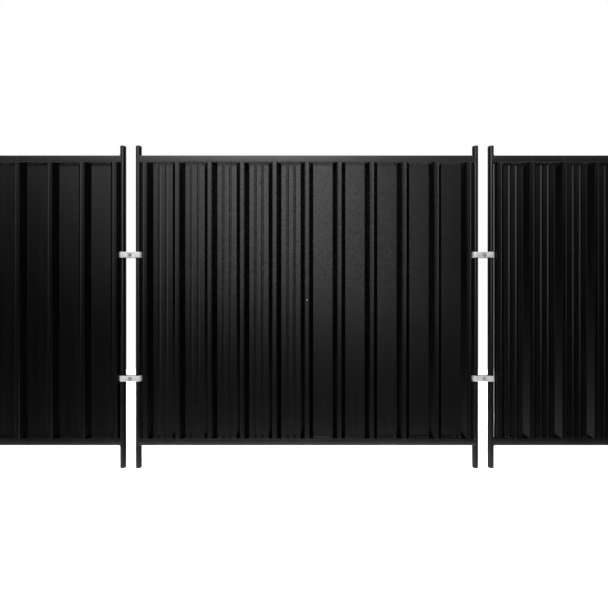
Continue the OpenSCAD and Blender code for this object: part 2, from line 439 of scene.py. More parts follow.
# Painted light under the rail, a lighter strip at the pans' top edge where the rail's shade falls:
# its lower edge in shares of its height, its start behind the crests, and how it fades away from
# the row's middle and to the right of it
LEDGE_LIGHT_EDGE = (1.15, 0.75)
LEDGE_LIGHT_DEPTH = (8.0 * MM, 13.0 * MM, 0.0, 1.0)
LEDGE_LIGHT_ASIDE = (0.8, 1.2, 1.0, 0.1)
LEDGE_LIGHT_RIGHT = (0.3, 0.6, 1.0, 0.5)
# Rounding of the crests: where a crest's face starts, its flat half width and its curve
CREST_FACE = (-15.7 * MM, -15.5 * MM, 1.0, 0.0)
CREST_FLAT = 6.5 * MM
CREST_CURVE = 22.0
# The sheet lies flatter in its outer pans, and below the rail between these two depths, where
# it keeps this share of its waves
CALM_ASIDE = (0.95, 1.1, 1.0, 0.15)
STIFF_TOP = (36.0 * MM, 14.0 * MM)
STIFF_SHARE = 0.1
# Heights of its reliefs, and the middle value of a noise
WAVE_HEIGHT = 0.5 * MM
DENT_HEIGHT = 0.1 * MM
MOTTLE_HEIGHT = 0.2 * MM
PIT_HEIGHT = 0.05 * MM
SHEET_PEEL_HEIGHT = 0.006 * MM
NOISE_MIDDLE = 0.5
# Distance before a panel's first post at which its ribs start to count
BEFORE_POST = 0.05

# Galvanised plates: crystals, and marks where they were handled
SPANGLE_SCALE = 170.0
SPANGLE_TONES = (0.86, 1.08)
SPANGLE_ROUGHNESS = (0.0, 1.0, 0.3, 0.46)
SPANGLE_METALLIC = 0.55
HANDLED_GRAIN = (60.0, 3.0)
HANDLED = (0.5, 0.75, 0.0, 0.35)
HANDLED_TONE = 0.7
HANDLED_HEIGHT = 0.05 * MM
# Plain finishes: grain, tones, range of roughness, height of the grain, metallic share
MOULDED_PLASTIC = ((900.0, 3.0), (0.7, 1.5), (0.3, 0.7, 0.34, 0.48), 0.02 * MM, 0.0)
ZINC_PLATE = ((180.0, 3.0), (0.62, 0.92), (0.3, 0.7, 0.26, 0.4), 0.02 * MM, 0.8)


def powder_coat(settings, rough, on_rails=False):
    """Black powder coat: semi-gloss, with fine orange peel, a light dusting and, on the rails, painted
    light on the underside.
    """
    material, tree, shader, place = new_finish()
    normal = None
    peel = noise(tree, place, *COAT_PEEL)
    drift = noise(tree, place, *COAT_DRIFT)
    dust_and_painted_light = spread(tree, noise(tree, place, *COAT_DUST_GRAIN), *COAT_DUST)
    base = tinted(tree, drift, settings.coat_colour, *COAT_TONES)
    base = blended(tree, dust_and_painted_light, base, COAT_DUST_COLOUR)
    if on_rails:
        normal, under = rail_face(tree, place)
        # Painted light: the rails' underside takes the pale tone of the strip under the rail
        base = blended(tree, under, base, rgba((settings.painted_light_tone,) * 3))
    shader.inputs["Specular IOR Level"].default_value = COAT_SPECULAR
    smoothest, roughest = (rough + change for change in COAT_ROUGHER)
    rough = spread(tree, drift, *COAT_DRIFT_ENDS, smoothest, roughest)
    wire(tree, shader, base, rough, raised(tree, peel, COAT_PEEL_HEIGHT, normal))
    return material


def rail_face(tree, place):
    """Slight crown of the rails' faces, as a normal, and the painted light on their underside, as a mask.
    """
    axes = split(tree, place)
    bottom, top = (node_box("middle_panel_" + rail + "_rail")[2] for rail in ("bottom", "top"))
    upper = reckon(tree, "GREATER_THAN", axes["Z"], (bottom.z + top.z) / 2)
    level = minus(tree, axes["Z"], spread(tree, upper, 0.0, 1.0, bottom.z, top.z))
    aside = reckon(tree, "ABSOLUTE", minus(tree, axes["X"], top.x))
    under = times(tree, facing(tree, "Z", -1.0), spread(tree, aside, *UNDERSIDE_FADE))
    return raised(tree, times(tree, level, level, RAIL_CROWN), 1.0), under


def facing(tree, axis, side):
    """Mask of the faces that look along an axis, to its low side, -1, or its high side, 1."""
    normal = add_node(tree, "ShaderNodeNewGeometry").outputs["True Normal"]
    along = split(tree, normal)[axis]
    none, full = FACING
    return ramp(tree, along, none * side, full * side)


def coil_coat(settings):
    """Black coated sheet: slightly wavy in its pans, with specks, rub marks and painted light along the
    pans' top edge.
    """
    material, tree, shader, place = new_finish()
    marks = {}
    for name, (scale, detail, roughness) in SHEET_PATTERNS.items():
        stretched = add_node(tree, "ShaderNodeMapping", {"Vector": place, "Scale": scale}).outputs["Vector"]
        marks[name] = noise(tree, stretched, 1.0, detail, roughness)
    for name, (scale, detail, roughness) in SHEET_GRAIN.items():
        marks[name] = noise(tree, place, scale, detail, roughness)
    for name, limits in SHEET_MARKS.items():
        marks[name] = spread(tree, marks[name], *limits)
    axes = split(tree, place)
    along = minus(tree, axes["X"], node_box("middle_panel_top_rail")[2].x)
    aside = reckon(tree, "ABSOLUTE", along)
    faced = facing(tree, "Y", -1.0)
    worn = times(tree, spread(tree, aside, *WORN_ASIDE, True), spread(tree, axes["Z"], *WORN_UP, True))
    worn_front = times(tree, worn, faced)
    speck = times(tree, marks["speck"], worn_front)

    base = tinted(tree, marks["rub"], settings.sheet_colour, *SHEET_TONES)
    base = blended(tree, times(tree, speck, SPECK_COVER), base, SPECK_COLOUR)
    base = blended(tree, times(tree, marks["bloom"], worn_front), base, BLOOM_COLOUR)
    # Painted light: the pans' top edge, in the rail's shade, is lightened to a pale tone
    dust_and_painted_light = ledge_painted_light(tree, settings, axes, faced, along, aside)
    base = blended(tree, dust_and_painted_light, base, rgba((settings.painted_light_tone,) * 3))

    smoothest = settings.sheet_roughness - ROLLED_ROUGHNESS
    roughest = settings.sheet_roughness + ROLLED_ROUGHNESS
    mottled = spread(tree, marks["mottle"], *MOTTLE_ROUGHNESS)
    rough = plus(
        tree,
        times(tree, mottled, times(tree, marks["patch"], worn)),
        spread(tree, marks["rolled"], *ROLLED_ENDS, smoothest, roughest),
        times(tree, speck, SPECK_ROUGHNESS),
        times(tree, marks["matt"], worn),
    )
    wire(tree, shader, base, rough, sheet_relief(tree, marks, axes, aside, worn))
    return material


def ledge_painted_light(tree, settings, axes, faced, along, aside):
    """Mask of the painted light strip along the pans' top edge, under the rail."""
    top = node_box("middle_panel_left_sheet")[1].z
    none, full = (top - settings.ledge_painted_light * share for share in LEDGE_LIGHT_EDGE)
    return times(
        tree,
        ramp(tree, axes["Z"], none, full),
        spread(tree, axes["Y"], *LEDGE_LIGHT_DEPTH),
        faced,
        spread(tree, aside, *LEDGE_LIGHT_ASIDE),
        spread(tree, along, *LEDGE_LIGHT_RIGHT),
    )


def sheet_relief(tree, marks, axes, aside, worn):
    """Normal of the coated sheet, from the crests' rounding down to its fine grain."""
    top = node_box("middle_panel_left_sheet")[1].z
    shoulder = reckon(tree, "MAXIMUM", minus(tree, from_rib(tree, axes["X"]), CREST_FLAT), 0.0)
    crest = spread(tree, axes["Y"], *CREST_FACE)
    crown = times(tree, reckon(tree, "POWER", shoulder, 2.0), CREST_CURVE, crest)
    loose_z, stiff_z = (top - depth for depth in STIFF_TOP)
    stiff = spread(tree, axes["Z"], loose_z, stiff_z, 1.0, STIFF_SHARE, True)
    calm = times(tree, spread(tree, aside, *CALM_ASIDE), stiff)
    reliefs = (
        (times(tree, minus(tree, marks["wave"], NOISE_MIDDLE), calm), WAVE_HEIGHT),
        (times(tree, marks["dent"], calm), DENT_HEIGHT),
        (times(tree, marks["mottle"], times(tree, worn, stiff)), MOTTLE_HEIGHT),
        (times(tree, marks["pits"], worn), PIT_HEIGHT),
        (marks["peel"], SHEET_PEEL_HEIGHT),
    )
    normal = raised(tree, crown, 1.0)
    for pattern, height in reliefs:
        normal = raised(tree, pattern, height, normal)
    return normal


def from_rib(tree, along):
    """Distance of a place along the row from the middle of the nearest rib."""
    ribs = bpy.context.scene.hoarding_rivet
    starts = [node_box(panel + "_left_post")[2].x for panel in PANELS]
    starts[2] += ribs.right_shift
    for start, next_start in reversed(list(zip(starts, starts[1:]))):
        past = reckon(tree, "GREATER_THAN", along, next_start - BEFORE_POST)
        along = minus(tree, along, times(tree, past, next_start - start))
    half = ribs.rib_pitch / 2
    within = reckon(tree, "FLOORED_MODULO", minus(tree, along, ribs.rib_start - half), ribs.rib_pitch)
    return reckon(tree, "ABSOLUTE", minus(tree, within, half))


def plain_finish(colour, look):
    """One colour, with a grain in its tone, roughness and height."""
    grain, tones, roughness, height, metallic = look
    material, tree, shader, place = new_finish()
    pattern = noise(tree, place, *grain)
    base = tinted(tree, pattern, colour, *tones)
    shader.inputs["Metallic"].default_value = metallic
    wire(tree, shader, base, spread(tree, pattern, *roughness), raised(tree, pattern, height))
    return material


def galvanised(settings):
    """Bright hot-dip zinc with crystal spangle and faint handling marks."""
    material, tree, shader, place = new_finish()
    crystals = {"Vector": place, "Scale": SPANGLE_SCALE}
    cells = add_node(tree, "ShaderNodeTexVoronoi", crystals, feature="F1").outputs["Color"]
    tone = add_node(tree, "ShaderNodeSeparateColor", {"Color": cells}).outputs["Red"]
    drift = noise(tree, place, *HANDLED_GRAIN)
    base = tinted(tree, tone, settings.zinc_colour, *SPANGLE_TONES)
    base = blended(tree, spread(tree, drift, *HANDLED), base, rgba(settings.zinc_colour, HANDLED_TONE))
    shader.inputs["Metallic"].default_value = SPANGLE_METALLIC
    rough = spread(tree, tone, *SPANGLE_ROUGHNESS)
    wire(tree, shader, base, rough, raised(tree, drift, HANDLED_HEIGHT))
    return material


FINISHES = {
    "post": lambda settings: powder_coat(settings, settings.post_roughness),
    "rail": lambda settings: powder_coat(settings, settings.rail_roughness, on_rails=True),
    "sheet": coil_coat,
    "cap": lambda settings: plain_finish(settings.plastic_colour, MOULDED_PLASTIC),
    "clip": galvanised,
    "bolt": lambda settings: plain_finish(settings.zinc_colour, ZINC_PLATE),
}


def finish_for(slot_name):
    """The material of a slot, made the first time it is asked for."""
    made = bpy.data.materials.get("finish_" + slot_name)
    if made is None:
        made = FINISHES[slot_name](bpy.context.scene.hoarding_finish)
        made.name = "finish_" + slot_name
    return made


# ---------------- mesh helpers

# Vertices closer than this are one
SAME_SPOT = 0.01 * MM
# Edges flatter than this are shaded smooth
SMOOTH_ANGLE = math.radians(35)


def clear_selection():
    """Leaves edit mode and deselects everything."""
    if bpy.context.object and bpy.context.object.mode != "OBJECT":
        bpy.ops.object.mode_set(mode="OBJECT")
    bpy.ops.object.select_all(action="DESELECT")


def focus(piece):
    """Makes a piece the one selected object and the active one."""
    clear_selection()
    piece.select_set(True)
    bpy.context.view_layer.objects.active = piece


def discard(piece):
    """Removes an object that only helped to shape others."""
    clear_selection()
    piece.select_set(True)
    bpy.ops.object.delete()


def open_all():
    """Opens the active piece for editing, by its vertices, with all of it selected."""
    bpy.ops.object.mode_set(mode="EDIT")
    bpy.ops.mesh.select_mode(type="VERT")
    bpy.ops.mesh.select_all(action="SELECT")


def begin(add, **shape):
    """Adds a primitive on its own, moves its place into its mesh and opens it for editing."""
    clear_selection()
    add(**shape)
    piece = bpy.context.object
    bpy.ops.object.transform_apply(location=True, rotation=True, scale=True)
    open_all()
    return piece


def pick(piece, kind, test):
    """Selects the parts of one kind that pass a test, which gets each part and its middle."""
    bpy.ops.mesh.select_mode(type=kind)
    bpy.ops.mesh.select_all(action="DESELECT")
    shape = bmesh.from_edit_mesh(piece.data)
    for part in {"VERT": shape.verts, "EDGE": shape.edges, "FACE": shape.faces}[kind]:
        corners = [part] if kind == "VERT" else part.verts
        middle = sum((corner.co for corner in corners), Vector()) / len(corners)
        if test(part, middle):
            part.select = True
    shape.select_flush_mode()
    bmesh.update_edit_mesh(piece.data)


def drawn(points):
    """Draws a run of edges through points with one vertex."""
    piece = begin(bpy.ops.mesh.primitive_plane_add, size=MM, location=points[0])
    bpy.ops.mesh.merge(type="CENTER")
    for start, end in zip(points, points[1:]):
        bpy.ops.mesh.extrude_vertices_move(TRANSFORM_OT_translate={"value": Vector(end) - Vector(start)})
    bpy.ops.mesh.select_all(action="SELECT")
    return piece


def turned(section, steps):
    """Turns pairs of radius and distance round the Y axis into a closed solid."""
    piece = drawn([(radius, along, 0.0) for radius, along in section])
    bpy.ops.mesh.spin(steps=steps, angle=2 * math.pi, center=(0, 0, 0), axis=(0, 1, 0))
    weld_up()
    return piece


def weld_up():
    """Merges doubled vertices of the open piece and turns its faces outwards."""
    bpy.ops.mesh.select_all(action="SELECT")
    bpy.ops.mesh.remove_doubles(threshold=SAME_SPOT)
    bpy.ops.mesh.normals_make_consistent(inside=False)


def joined(pieces):
    """Joins pieces into the first."""
    clear_selection()
    for piece in pieces:
        piece.select_set(True)
    bpy.context.view_layer.objects.active = pieces[0]
    bpy.ops.object.join()
    return pieces[0]


def with_modifier(piece, kind, **settings):
    """Adds a modifier, sets it and applies it, and stops if nothing of the piece is left."""
    focus(piece)
    modifier = piece.modifiers.new(kind.lower(), kind)
    for key, value in settings.items():
        setattr(modifier, key, value)
    bpy.ops.object.modifier_apply(modifier=modifier.name)
    if not piece.data.polygons:
        raise RuntimeError(piece.name + " lost all its faces in its " + kind.lower() + " modifier")
    return piece


def set_out(pattern, slot_name, places):
    """Copies a pattern to its places, each a name, a shift and a turn about Z, and removes it."""
    copies = []
    for name, shift, turn in places:
        focus(pattern)
        bpy.ops.object.duplicate(linked=False)
        piece = bpy.context.object
        piece.rotation_euler.z = turn
        piece.location = shift
        copies.append(settle(piece, name, slot_name))
    discard(pattern)
    return copies


def joint_node(joint, part):
    """Name of a clip's part at a joint."""
    return joint + "_" + part


def node_box(name):
    """Lowest, highest and middle corner of a CAD node."""
    low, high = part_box(name)
    low, high = Vector(low), Vector(high)
    return low, high, (low + high) / 2


def settle(piece, name, slot_name):
    """Applies a piece's place, names it, gives it its finish and puts it on the fence's body."""
    focus(piece)
    bpy.ops.object.transform_apply(location=True, rotation=True, scale=True)
    bpy.ops.object.shade_smooth_by_angle(angle=SMOOTH_ANGLE)
    piece.name = name
    piece.data.name = name
    piece.data.materials.clear()
    piece.data.materials.append(finish_for(slot_name))
    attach(piece, STEEL_BODY)
    piece.select_set(False)
    return piece


# ---------------- operators

# The room's light, by direction in degrees: turn is to the right of straight ahead, rise is
# above level, and aside is the turn without its sign. A range of four gives two of them and the
# value at each, a pair gives where a mask is 0 and where it is 1, and a corner is two such pairs.
TALL_EDGE = (-36.0, 22.0, 15.0, -1.2)
TALL_EDGE_STEP = (24.0, 30.0, 0.0, 11.5)
TALL_SOFTNESS = 6.5
TALL_TOP = (28.0, 60.0, 1.0, 0.25)
FRONT_HILL = (-5.5, 22.0)
FRONT_LEFT = (-32.0, -24.0, 1.6, 1.0)
FRONT_RIGHT = (24.0, 29.0, 1.0, 0.2)
FRONT_TOP = (18.0, 30.0, 1.0, 1.38)
LEFT_CORNER = ((-29.0, -36.0), (17.0, 12.0))
LEFT_LOSS = 0.5
RIGHT_CORNER = ((0.0, 14.0), (0.0, 7.0))
RIGHT_LOSS = 0.27
WING_LEVEL = (28.0, 41.0, 0.36, 0.3)
WING_EDGE = 17.3
WING_SOFTNESS = 3.2
WING_START = (22.0, 30.0)
WING_END = (62.0, 50.0)
STRIP_INNER = (-34.0, -42.0)
STRIP_OUTER = (-62.0, -54.0)
STRIP_RISE = (0.0, 12.0)
STRIP_LEVEL = 0.14
BACK_HILL = (180.0, 48.0)
BACK_LEVEL = 0.5
SKIRT_NEAR = (25.0, 33.0, 0.08, 0.0)
SKIRT_FAR = (38.0, 55.0, 0.03, 0.0)
SKIRT_BLEND = 0.06
CEILING_RISE = (10.0, 45.0)
CEILING_LEVEL = 0.15
GROUND_RISE = (-18.7, -27.0)
GROUND_LEVEL = 1.5
LOW_BACK = ((120.0, 150.0), (-2.0, -14.0))
LOW_BACK_LEVEL = 0.5
LOW_LEFT_HILL = (-62.0, 16.0)
LOW_LEFT_LOWEST = -28.0
LOW_LEFT_GROWTH = -9.0
LOW_LEFT_LEVEL = 0.08
# Width of a lamp as a share of its height, and the back fill's power as a share of the front's
LIGHT_WIDTH = 1.4
BACK_SHARE = 0.6


class HOARDING_OT_stage(bpy.types.Operator):
    """Sets out the floor, the soft lights and the camera"""

    bl_idname = "hoarding.stage"
    bl_label = "Stage"

    def execute(self, context):
        settings = context.scene.hoarding_stage
        middle = (CAD_LOW.x + CAD_HIGH.x) / 2
        context.scene.view_settings.view_transform = "Standard"
        clear_selection()
        self.floor(settings, middle)
        self.room(context, settings)
        self.lights(settings, middle)
        self.camera(context, settings, middle)
        return {"FINISHED"}

    def floor(self, settings, middle):
        """Plain pale floor, one flat sheet under the feet"""
        depth = settings.floor_front + settings.floor_back
        shift = (settings.floor_back - settings.floor_front) / 2
        bpy.ops.mesh.primitive_plane_add(size=1.0, location=(middle, shift, 0.0))
        floor = bpy.context.object
        floor.name = "studio_floor"
        floor.scale = (CAD_HIGH.x - CAD_LOW.x + settings.floor_longer, depth, 1.0)
        bpy.ops.object.transform_apply(location=True, rotation=True, scale=True)
        material, tree, shader, place = new_finish()
        material.name = "pale_floor"
        tone = blended(tree, noise(tree, place, 3.0), (0.9, 0.9, 0.9, 1), (0.93, 0.93, 0.93, 1))
        tree.links.new(tone, shader.inputs["Base Color"])
        shader.inputs["Roughness"].default_value = 0.8
        shader.inputs["Specular IOR Level"].default_value = 0.1
        floor.data.materials.append(material)
        floor.visible_glossy = False

    def room(self, context, settings):
        """Room of soft light, which the camera itself sees as plain white"""
        world = bpy.data.worlds.new("studio_room")
        context.scene.world = world
        world.use_nodes = True
        tree = world.node_tree
        tree.nodes.clear()
        axes = split(tree, add_node(tree, "ShaderNodeTexCoord").outputs["Generated"])
        rise = times(tree, reckon(tree, "ARCSINE", axes["Z"]), 180 / math.pi)
        forward = times(tree, axes["Y"], -1.0)
        turn = times(tree, reckon(tree, "ARCTAN2", axes["X"], forward), 180 / math.pi)
        light = self.glow(tree, settings, rise, turn)
        shown = add_node(tree, "ShaderNodeLightPath").outputs["Is Camera Ray"]
        soft = add_node(tree, "ShaderNodeBackground", {"Color": (1, 1, 1, 1), "Strength": light})
        plain = add_node(tree, "ShaderNodeBackground", {"Color": (1, 1, 1, 1), "Strength": 1.0})
        mixed = add_node(tree, "ShaderNodeMixShader", {0: shown, 1: soft.outputs[0], 2: plain.outputs[0]})
        add_node(tree, "ShaderNodeOutputWorld", {"Surface": mixed.outputs[0]})

    def glow(self, tree, settings, rise, turn):
        """Strength of the room's light in each direction"""
        aside = reckon(tree, "ABSOLUTE", turn)
        edge = plus(tree, spread(tree, turn, *TALL_EDGE), spread(tree, turn, *TALL_EDGE_STEP, True))
        tall = above(tree, settings.front_light, rise, edge, TALL_SOFTNESS)
        tall = times(tree, tall, spread(tree, rise, *TALL_TOP, True))
        front = self.front(tree, tall, rise, turn)
        skirt = plus(
            tree,
            spread(tree, aside, *SKIRT_NEAR, True),
            spread(tree, aside, *SKIRT_FAR, True),
            settings.room_light,
        )
        back = times(tree, tall, hill(tree, aside, *BACK_HILL), BACK_LEVEL)
        lowest = reckon(tree, "MAXIMUM", rise, LOW_LEFT_LOWEST)
        growth = reckon(tree, "EXPONENT", over(tree, lowest, LOW_LEFT_GROWTH))
        return plus(
            tree,
            reckon(tree, "SMOOTH_MAX", front, skirt, SKIRT_BLEND),
            self.wing(tree, rise, turn),
            plus(tree, back, self.strip(tree, rise, turn)),
            times(tree, ramp(tree, rise, *CEILING_RISE), CEILING_LEVEL),
            times(tree, ramp(tree, rise, *GROUND_RISE), GROUND_LEVEL),
            times(tree, room_corner(tree, aside, rise, LOW_BACK), LOW_BACK_LEVEL),
            times(tree, growth, hill(tree, turn, *LOW_LEFT_HILL), LOW_LEFT_LEVEL),
        )

    def front(self, tree, tall, rise, turn):
        """Tall light in front, left of the middle, dimmed at two of its corners"""
        sides = times(tree, spread(tree, turn, *FRONT_LEFT, True), spread(tree, turn, *FRONT_RIGHT, True))
        return times(
            tree,
            tall,
            hill(tree, turn, *FRONT_HILL),
            sides,
            spread(tree, rise, *FRONT_TOP, True),
            dimmed(tree, room_corner(tree, turn, rise, LEFT_CORNER), LEFT_LOSS),
            dimmed(tree, room_corner(tree, turn, rise, RIGHT_CORNER), RIGHT_LOSS),
        )

    def wing(self, tree, rise, turn):
        """Weak light to the right of the tall one"""
        wing = above(tree, spread(tree, turn, *WING_LEVEL), rise, WING_EDGE, WING_SOFTNESS)
        return times(tree, wing, times(tree, ramp(tree, turn, *WING_START), ramp(tree, turn, *WING_END)))

    def strip(self, tree, rise, turn):
        """Weak upright strip of light to the left"""
        sides = times(tree, ramp(tree, turn, *STRIP_INNER), ramp(tree, turn, *STRIP_OUTER))
        return times(tree, sides, times(tree, ramp(tree, rise, *STRIP_RISE), STRIP_LEVEL))

    def lights(self, settings, middle):
        """One overhead soft box and soft fills in front and behind"""
        back_power = settings.fill_power * BACK_SHARE
        places = (
            ("overhead_box", (middle - 0.6, -0.3, 4.6), (middle, 0.1, 0.0), 5.0, settings.overhead_power),
            ("front_fill", (middle - 2.2, -5.0, 3.2), (middle, 0.0, 1.0), 3.0, settings.fill_power),
            ("back_fill", (middle + 1.5, 5.0, 3.2), (middle, 0.0, 1.0), 3.0, back_power),
        )
        for name, spot, aim, size, power in places:
            light = bpy.data.lights.new(name, "AREA")
            light.shape = "RECTANGLE"
            light.size = size * LIGHT_WIDTH
            light.size_y = size
            light.energy = power
            lamp = bpy.data.objects.new(name, light)
            bpy.context.scene.collection.objects.link(lamp)
            lamp.location = spot
            lamp.rotation_euler = (Vector(aim) - Vector(spot)).to_track_quat("-Z", "Y").to_euler()
            lamp.visible_camera = False
            lamp.visible_glossy = False

    def camera(self, context, settings, middle):
        """Level camera in front of the middle panel"""
        data = bpy.data.cameras.new("camera")
        data.lens = settings.lens
        data.sensor_width = 36.0
        data.clip_start = 0.01
        data.clip_end = 100.0
        camera = bpy.data.objects.new("camera", data)
        context.scene.collection.objects.link(camera)
        camera.location = (middle + settings.camera_side, -settings.camera_distance, settings.camera_height)
        camera.rotation_euler = (math.pi / 2, 0.0, 0.0)
        context.scene.camera = camera


class HOARDING_OT_finishes(bpy.types.Operator):
    """Gives every part of the frame its finish"""

    bl_idname = "hoarding.finishes"
    bl_label = "Finishes"

    def execute(self, context):
        for name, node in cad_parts.items():
            for material_slot in node.material_slots:
                slot_name = material_slot.material.name.split(".")[0]
                if slot_name not in FINISHES:
                    raise RuntimeError(name + " has no finish for slot " + slot_name)
                material_slot.material = finish_for(slot_name)
        return {"FINISHED"}


# Sides of a bead's section, and steps along a bead round a post and along one down a rail
BEAD_SIDES = 10
ROUND_STEPS = 44
SIDE_STEPS = 20
# A rail deeper than this share of its post's radius is welded no further round
WIDEST_REACH = 0.97
# Where the bead down a rail lies, in shares of its half width: into the rail and off the post
SIDE_INSET = 0.6
SIDE_OFF_POST = 0.5


class HOARDING_OT_welds(bpy.types.Operator):
    """Lays the rippled weld beads where the rails meet the posts"""

    bl_idname = "hoarding.welds"
    bl_label = "Weld beads"

    def execute(self, context):
        settings = context.scene.hoarding_weld
        low, high, _ = node_box("middle_panel_top_rail")
        height = high.z - low.z
        depth = (high.y - low.y) / 2
        low, high, _ = node_box("middle_panel_left_post")
        radius = (high.x - low.x) / 2
        rounds = [self.round_bead(settings, radius, depth, side * height / 2) for side in (1, -1)]
        runs = [self.side_bead(settings, radius, side * depth, height) for side in (1, -1)]
        pattern = joined(rounds + runs)
        places = []
        for panel in PANELS:
            for end, turn in (("left", 0.0), ("right", math.pi)):
                post = node_box(panel + "_" + end + "_post")[2]
                for rail in ("top", "bottom"):
                    level = node_box(panel + "_" + rail + "_rail")[2].z
                    name = panel + "_" + end + "_" + rail + "_weld"
                    places.append((name, (post.x, 0.0, level), turn))
        set_out(pattern, "rail", places)
        return {"FINISHED"}

    def round_bead(self, settings, radius, depth, level):
        """Bead round the post on a rail's top or underside"""
        reach = math.asin(min(WIDEST_REACH, depth / radius))
        bead = begin(
            bpy.ops.mesh.primitive_circle_add,
            vertices=BEAD_SIDES,
            radius=settings.leg,
            fill_type="NGON",
            location=(radius * math.cos(reach), -radius * math.sin(reach), level),
            rotation=(math.pi / 2, 0.0, -reach),
        )
        bpy.ops.mesh.spin(steps=ROUND_STEPS, angle=-2 * reach, center=(0, 0, 0), axis=(0, 0, 1))
        weld_up()
        step = 2 * reach / ROUND_STEPS
        self.ripple(bead, settings, lambda spot: round((math.atan2(spot.y, spot.x) + reach) / step))
        return bead

    def side_bead(self, settings, radius, depth, height):
        """Shallow bead down a rail's front or back"""
        inset = math.copysign(settings.side_leg * SIDE_INSET, depth)
        across = math.sqrt(max(0.0, radius ** 2 - depth ** 2)) + settings.side_leg * SIDE_OFF_POST
        bead = begin(
            bpy.ops.mesh.primitive_circle_add,
            vertices=BEAD_SIDES,
            radius=settings.side_leg,
            fill_type="NGON",
            location=(across, depth - inset, -height / 2),
        )
        step = height / SIDE_STEPS
        for _ in range(SIDE_STEPS):
            bpy.ops.mesh.extrude_region_move(TRANSFORM_OT_translate={"value": (0.0, 0.0, step)})
        weld_up()
        self.ripple(bead, settings, lambda spot: round((spot.z + height / 2) / step))
        return bead

    def ripple(self, bead, settings, ring_of):
        """Swells every second ring of a bead"""
        pick(bead, "VERT", lambda vertex, spot: ring_of(spot) % 2 == 1)
        bpy.ops.transform.shrink_fatten(value=settings.ripple)
        bpy.ops.mesh.select_all(action="DESELECT")


RIVET_STEPS = 28
FIXING_STEPS = 20


class HOARDING_OT_rivets(bpy.types.Operator):
    """Sets the lap rivets and the small fixings along the top rails"""

    bl_idname = "hoarding.rivets"
    bl_label = "Rivets"

    def execute(self, context):
        settings = context.scene.hoarding_rivet
        self.lap_rivets(settings)
        self.rail_fixings(settings)
        return {"FINISHED"}

    def rib_middle(self, settings, panel, index):
        """Where a rib's middle stands along the row"""
        start = node_box(panel + "_left_post")[2].x + settings.rib_start + settings.rib_pitch * index
        return start + (settings.right_shift if panel == "right_panel" else 0.0)

    def lap_rivets(self, settings):
        """Blind rivets, head in front with the broken mandrel in its hole, bulb behind"""
        head = settings.lap_head / 2
        mandrel = [(0.0, -0.7 * MM), (1.25 * MM, -0.7 * MM), (1.4 * MM, -1.9 * MM)]
        dome = [(0.52 * head, -1.9 * MM), (0.8 * head, -1.45 * MM), (0.97 * head, -0.6 * MM), (head, 0.0)]
        neck = [(2.4 * MM, 0.1 * MM), (2.4 * MM, 1.1 * MM)]
        bulb = [(3.3 * MM, 1.9 * MM), (3.6 * MM, 3.6 * MM), (3.0 * MM, 5.4 * MM), (1.7 * MM, 6.2 * MM)]
        rivet = turned(mandrel + dome + neck + bulb + [(0.0, 6.4 * MM)], RIVET_STEPS)
        places = []
        for panel in PANELS:
            middle = self.rib_middle(settings, panel, settings.rib_count // 2)
            spot = (middle, -settings.crest_face, settings.lap_height)
            places.append((panel + "_lap_rivet", spot, 0.0))
        set_out(rivet, "bolt", places)

    def rail_fixings(self, settings):
        """Low domed heads on the top rail, one over each rib"""
        head = settings.fixing_head / 2
        recess = [(0.0, -0.5 * MM), (0.3 * head, -0.55 * MM), (0.38 * head, -1.3 * MM)]
        dome = [(0.62 * head, -1.2 * MM), (0.9 * head, -0.7 * MM), (head, -0.1 * MM)]
        section = recess + dome + [(0.97 * head, 0.2 * MM), (0.0, 0.25 * MM)]
        for panel in PANELS:
            rail_low = node_box(panel + "_top_rail")[0]
            level = rail_low.z + settings.fixing_height
            heads = []
            for index in range(settings.rib_count):
                heads.append(turned(section, FIXING_STEPS))
                spot = (self.rib_middle(settings, panel, index), rail_low.y, level)
                bpy.ops.transform.translate(value=spot)
            settle(joined(heads), panel + "_rail_fixings", "cap")


# Faces within the first angle of each other are one, and edges past the second are rounded
FLAT_ANGLE = math.radians(1.0)
SHARP_ANGLE = math.radians(50)


class HOARDING_OT_clips(bpy.types.Operator):
    """Rounds the edges of the pressed clip plates"""

    bl_idname = "hoarding.clips"
    bl_label = "Clip plates"

    def execute(self, context):
        settings = context.scene.hoarding_clip
        rounding = {"segments": 3, "limit_method": "ANGLE", "angle_limit": SHARP_ANGLE}
        for joint in JOINTS:
            for side in ("front", "back"):
                name = joint_node(joint, "clip_" + side)
                plate = bpy.data.objects.new(name + "_plate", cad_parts[name].data.copy())
                context.scene.collection.objects.link(plate)
                focus(plate)
                bpy.ops.mesh.customdata_custom_splitnormals_clear()
                open_all()
                bpy.ops.mesh.remove_doubles(threshold=SAME_SPOT)
                bpy.ops.mesh.dissolve_limited(angle_limit=FLAT_ANGLE)
                with_modifier(plate, "BEVEL", width=settings.edge_round, **rounding)
                settle(plate, name + "_plate", "clip")
                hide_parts(name)
        return {"FINISHED"}


# The bolt's rounded edges, the chamfer at its tip and how deep its thread is cut
SMALL_ROUND = 0.35 * MM
TIP_LENGTH = 0.8 * MM
TIP_CHAMFER = 0.9 * MM
CORE_DEPTH = 0.85 * MM
THREAD_DEPTH = 1.0 * MM
THREAD_IN_NUT = 1.0 * MM
# The thread's profile along one turn: start and end of its crest, and its root's return
THREAD_CREST = (0.42, 0.54, 0.96)
# Turn of head and nut, their chamfer's slope and its inner edge as a share of the flats
HEX_TURN = math.radians(8.0)
HEX_SLOPE = math.radians(28)
HEX_FACE = 0.94
# How far the chamfers' cutter stands out round the corners
CUTTER_SPARE = 0.1 * MM
SHANK_STEPS = 40
THREAD_STEPS = 24
CUTTER_STEPS = 48


